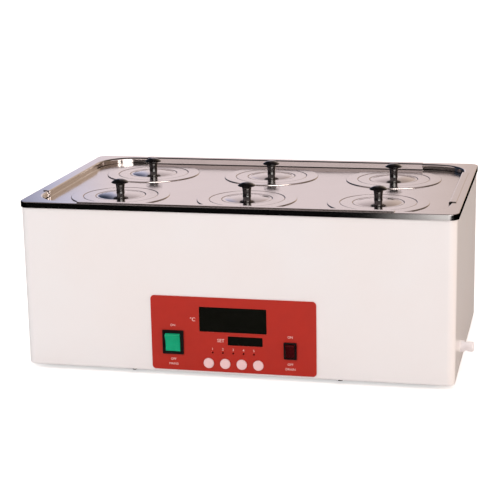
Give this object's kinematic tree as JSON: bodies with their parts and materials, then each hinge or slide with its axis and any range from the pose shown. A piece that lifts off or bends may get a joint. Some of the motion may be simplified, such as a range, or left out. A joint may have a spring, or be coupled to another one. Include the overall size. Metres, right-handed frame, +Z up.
{
  "type": "water bath",
  "caption": "Rectangular laboratory bench water bath: enamelled case, stainless tank and lid with ringed wells, knobbed covers, front control panel and a side drain.",
  "frame": {"origin": "middle of the case's footprint, on the bench plane under the feet", "axes": "+X to the operator's right along the long side, +Y to the rear, +Z up; the control panel faces -Y"},
  "size_m": [0.5289, 0.3337, 0.22],
  "materials": {
    "white_enamel": "gloss",
    "plated_steel": "satin",
    "screw_steel": "satin",
    "polished_stainless": "polished",
    "ring_stainless": "polished",
    "black_phenolic": "gloss",
    "red_enamel": "semi-gloss",
    "display_window": "gloss",
    "lamp_lens": "gloss",
    "key_plastic": "satin",
    "green_plastic": "gloss",
    "dark_red_plastic": "gloss",
    "switch_black": "satin",
    "board_green": "satin",
    "white_nylon": "satin",
    "clear_hose": "satin",
    "valve_black": "matte",
    "foot_rubber": "matte",
    "mineral_mat": "matte",
    "heater_sheath": "satin",
    "fitting_brass": "satin",
    "gland_black": "satin",
    "supply_metal": "satin",
    "sink_aluminium": "satin",
    "relay_plastic": "satin",
    "terminal_plastic": "satin"
  },
  "bodies": {
    "bath": {"outer_case": "white_enamel", "rear_cover": "white_enamel", "base_plate": "plated_steel", "case_screws": "screw_steel", "rubber_feet": "foot_rubber", "tank": "polished_stainless", "insulation": "mineral_mat", "heater": "heater_sheath", "floor_fittings": "fitting_brass", "temperature_probe": "heater_sheath", "thermal_cutout": "relay_plastic", "drain_nozzle": "white_nylon", "drain_valve": "valve_black", "drain_hose": "clear_hose", "control_panel": "red_enamel", "process_display": "display_window", "setpoint_display": "display_window", "indicator_lamps": "lamp_lens", "controller_board": "board_green", "power_switch": "switch_black", "outlet_switch": "switch_black", "mains_gland": "gland_black", "fuse_holder": "gland_black", "power_supply": "supply_metal", "heat_sink": "sink_aluminium", "heater_relay": "relay_plastic", "terminal_strip": "terminal_plastic"},
    "shelf": {"tank_shelf": "polished_stainless"},
    "lid": {"lid_plate": "polished_stainless"},
    "power_lever": {"power_rocker": "green_plastic"},
    "outlet_lever": {"outlet_rocker": "dark_red_plastic"},
    "fuse_carrier": {"fuse_cap": "gland_black"},
    "set_key": {"set_key": "key_plastic"},
    "left_key": {"left_key": "key_plastic"},
    "down_key": {"down_key": "key_plastic"},
    "up_key": {"up_key": "key_plastic"},
    "outer_ring_front_left": {"outer_ring_front_left": "ring_stainless"},
    "inner_ring_front_left": {"inner_ring_front_left": "ring_stainless"},
    "cover_front_left": {"cover_front_left": "ring_stainless", "knob_front_left": "black_phenolic"},
    "outer_ring_front_middle": {"outer_ring_front_middle": "ring_stainless"},
    "inner_ring_front_middle": {"inner_ring_front_middle": "ring_stainless"},
    "cover_front_middle": {"cover_front_middle": "ring_stainless", "knob_front_middle": "black_phenolic"},
    "outer_ring_front_right": {"outer_ring_front_right": "ring_stainless"},
    "inner_ring_front_right": {"inner_ring_front_right": "ring_stainless"},
    "cover_front_right": {"cover_front_right": "ring_stainless", "knob_front_right": "black_phenolic"},
    "outer_ring_rear_left": {"outer_ring_rear_left": "ring_stainless"},
    "inner_ring_rear_left": {"inner_ring_rear_left": "ring_stainless"},
    "cover_rear_left": {"cover_rear_left": "ring_stainless", "knob_rear_left": "black_phenolic"},
    "outer_ring_rear_middle": {"outer_ring_rear_middle": "ring_stainless"},
    "inner_ring_rear_middle": {"inner_ring_rear_middle": "ring_stainless"},
    "cover_rear_middle": {"cover_rear_middle": "ring_stainless", "knob_rear_middle": "black_phenolic"},
    "outer_ring_rear_right": {"outer_ring_rear_right": "ring_stainless"},
    "inner_ring_rear_right": {"inner_ring_rear_right": "ring_stainless"},
    "cover_rear_right": {"cover_rear_right": "ring_stainless", "knob_rear_right": "black_phenolic"}
  },
  "joints": [
    {"name": "lid_lift", "type": "slide", "parent": "bath", "child": "lid", "axis": [0, 0, 1], "range_m": [0, 0.08]},
    {"name": "shelf_lift", "type": "slide", "parent": "bath", "child": "shelf", "axis": [0, 0, 1], "range_m": [0, 0.05]},
    {"name": "outer_ring_lift_front_left", "type": "slide", "parent": "lid", "child": "outer_ring_front_left", "axis": [0, 0, 1], "range_m": [0, 0.04]},
    {"name": "inner_ring_lift_front_left", "type": "slide", "parent": "outer_ring_front_left", "child": "inner_ring_front_left", "axis": [0, 0, 1], "range_m": [0, 0.04]},
    {"name": "cover_lift_front_left", "type": "slide", "parent": "inner_ring_front_left", "child": "cover_front_left", "axis": [0, 0, 1], "range_m": [0, 0.04]},
    {"name": "outer_ring_lift_front_middle", "type": "slide", "parent": "lid", "child": "outer_ring_front_middle", "axis": [0, 0, 1], "range_m": [0, 0.04]},
    {"name": "inner_ring_lift_front_middle", "type": "slide", "parent": "outer_ring_front_middle", "child": "inner_ring_front_middle", "axis": [0, 0, 1], "range_m": [0, 0.04]},
    {"name": "cover_lift_front_middle", "type": "slide", "parent": "inner_ring_front_middle", "child": "cover_front_middle", "axis": [0, 0, 1], "range_m": [0, 0.04]},
    {"name": "outer_ring_lift_front_right", "type": "slide", "parent": "lid", "child": "outer_ring_front_right", "axis": [0, 0, 1], "range_m": [0, 0.04]},
    {"name": "inner_ring_lift_front_right", "type": "slide", "parent": "outer_ring_front_right", "child": "inner_ring_front_right", "axis": [0, 0, 1], "range_m": [0, 0.04]},
    {"name": "cover_lift_front_right", "type": "slide", "parent": "inner_ring_front_right", "child": "cover_front_right", "axis": [0, 0, 1], "range_m": [0, 0.04]},
    {"name": "outer_ring_lift_rear_left", "type": "slide", "parent": "lid", "child": "outer_ring_rear_left", "axis": [0, 0, 1], "range_m": [0, 0.04]},
    {"name": "inner_ring_lift_rear_left", "type": "slide", "parent": "outer_ring_rear_left", "child": "inner_ring_rear_left", "axis": [0, 0, 1], "range_m": [0, 0.04]},
    {"name": "cover_lift_rear_left", "type": "slide", "parent": "inner_ring_rear_left", "child": "cover_rear_left", "axis": [0, 0, 1], "range_m": [0, 0.04]},
    {"name": "outer_ring_lift_rear_middle", "type": "slide", "parent": "lid", "child": "outer_ring_rear_middle", "axis": [0, 0, 1], "range_m": [0, 0.04]},
    {"name": "inner_ring_lift_rear_middle", "type": "slide", "parent": "outer_ring_rear_middle", "child": "inner_ring_rear_middle", "axis": [0, 0, 1], "range_m": [0, 0.04]},
    {"name": "cover_lift_rear_middle", "type": "slide", "parent": "inner_ring_rear_middle", "child": "cover_rear_middle", "axis": [0, 0, 1], "range_m": [0, 0.04]},
    {"name": "outer_ring_lift_rear_right", "type": "slide", "parent": "lid", "child": "outer_ring_rear_right", "axis": [0, 0, 1], "range_m": [0, 0.04]},
    {"name": "inner_ring_lift_rear_right", "type": "slide", "parent": "outer_ring_rear_right", "child": "inner_ring_rear_right", "axis": [0, 0, 1], "range_m": [0, 0.04]},
    {"name": "cover_lift_rear_right", "type": "slide", "parent": "inner_ring_rear_right", "child": "cover_rear_right", "axis": [0, 0, 1], "range_m": [0, 0.04]},
    {"name": "power_rock", "type": "hinge", "parent": "bath", "child": "power_lever", "pos_m": [-0.073, -0.1539, 0.043], "axis": [-1, 0, 0], "range_deg": [0, 20]},
    {"name": "outlet_rock", "type": "hinge", "parent": "bath", "child": "outlet_lever", "pos_m": [0.0671, -0.1539, 0.0389], "axis": [-1, 0, 0], "range_deg": [0, 20]},
    {"name": "fuse_cap_turn", "type": "hinge", "parent": "bath", "child": "fuse_carrier", "pos_m": [0.165, 0.156, 0.04], "axis": [0, 1, 0], "range_deg": [0, 90]},
    {"name": "set_key_press", "type": "slide", "parent": "bath", "child": "set_key", "axis": [0, 1, 0], "range_m": [0, 0.0008], "stiffness_N_per_m": 500},
    {"name": "left_key_press", "type": "slide", "parent": "bath", "child": "left_key", "axis": [0, 1, 0], "range_m": [0, 0.0008], "stiffness_N_per_m": 500},
    {"name": "down_key_press", "type": "slide", "parent": "bath", "child": "down_key", "axis": [0, 1, 0], "range_m": [0, 0.0008], "stiffness_N_per_m": 500},
    {"name": "up_key_press", "type": "slide", "parent": "bath", "child": "up_key", "axis": [0, 1, 0], "range_m": [0, 0.0008], "stiffness_N_per_m": 500}
  ]
}
